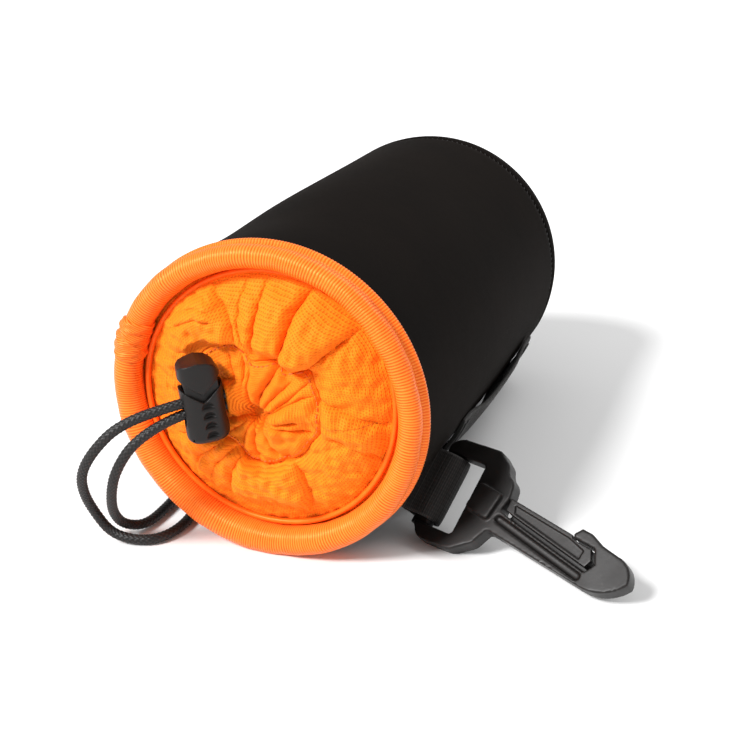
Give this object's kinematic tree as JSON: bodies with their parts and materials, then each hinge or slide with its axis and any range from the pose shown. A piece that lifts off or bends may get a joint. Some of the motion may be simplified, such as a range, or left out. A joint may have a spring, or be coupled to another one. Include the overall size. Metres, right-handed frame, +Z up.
{
  "type": "treat pouch",
  "caption": "Padded cylindrical treat pouch lying on its side, with a bound rim, a pleated drawstring collar, a cord lock, a belt strap and a plastic snap hook.",
  "frame": {"origin": "middle of the flat on which the lying pouch rests, below the pouch axis", "axes": "+Z up, +Y along the pouch axis from the mouth to the base, +X to the side that carries the hook"},
  "size_m": [0.1657, 0.2048, 0.1001],
  "materials": {
    "neoprene": "smooth black jersey-faced padding",
    "tape": "woven black seam tape",
    "lining": "plain orange lining cloth",
    "binding": "ribbed orange satin binding",
    "core": "foamed cord core",
    "mesh": "orange knit mesh",
    "cord": "braided black cord",
    "webbing": "ribbed black webbing",
    "thread": "black thread",
    "plastic": "moulded black plastic, satin",
    "steel": "spring wire"
  },
  "bodies": {
    "pouch": {"body_wall": "neoprene", "base_panel": "neoprene", "side_seam_tape": "tape", "base_seam_tape": "tape", "lining_tube": "lining", "lining_base": "lining", "rim_binding": "binding", "rim_core": "core", "binding_lap": "binding", "collar_piping": "binding", "collar_skirt": "mesh", "collar_channel": "mesh", "channel_cord": "cord", "cord_strand_a": "cord", "cord_strand_b": "cord", "cord_knot": "cord", "belt_strap": "webbing", "strap_bar_tacks": "thread", "hook_tab": "webbing"},
    "cord_lock": {"cord_lock_barrel": "plastic", "cord_lock_spring": "steel"},
    "lock_plunger": {"cord_lock_plunger": "plastic"},
    "snap_hook": {"hook_body": "plastic"},
    "spring_gate": {"hook_gate": "plastic"}
  },
  "joints": [
    {"name": "cord_lock_slide", "type": "slide", "parent": "pouch", "child": "cord_lock", "axis": [-0.7927, -0.5973, -0.1219], "range_m": [0, 0.003]},
    {"name": "plunger_press", "type": "slide", "parent": "cord_lock", "child": "lock_plunger", "axis": [0.0973, 0.0733, -0.9925], "range_m": [0, 0.0024], "stiffness_N_per_m": 800, "springref_m": -0.002, "deforming": ["cord_lock_spring"]},
    {"name": "hook_swing", "type": "hinge", "parent": "pouch", "child": "snap_hook", "pos_m": [0.04465, -0.05276, 0.0138], "axis": [-0.2452, -0.6647, -0.7058], "range_deg": [-40, 50]},
    {"name": "gate_flex", "type": "hinge", "parent": "snap_hook", "child": "spring_gate", "pos_m": [0.07056, -0.05901, 0.01508], "axis": [0.1981, 0.6783, -0.7076], "range_deg": [0, 2], "stiffness_Nm_per_rad": 0.6, "springref_deg": -1.15}
  ]
}
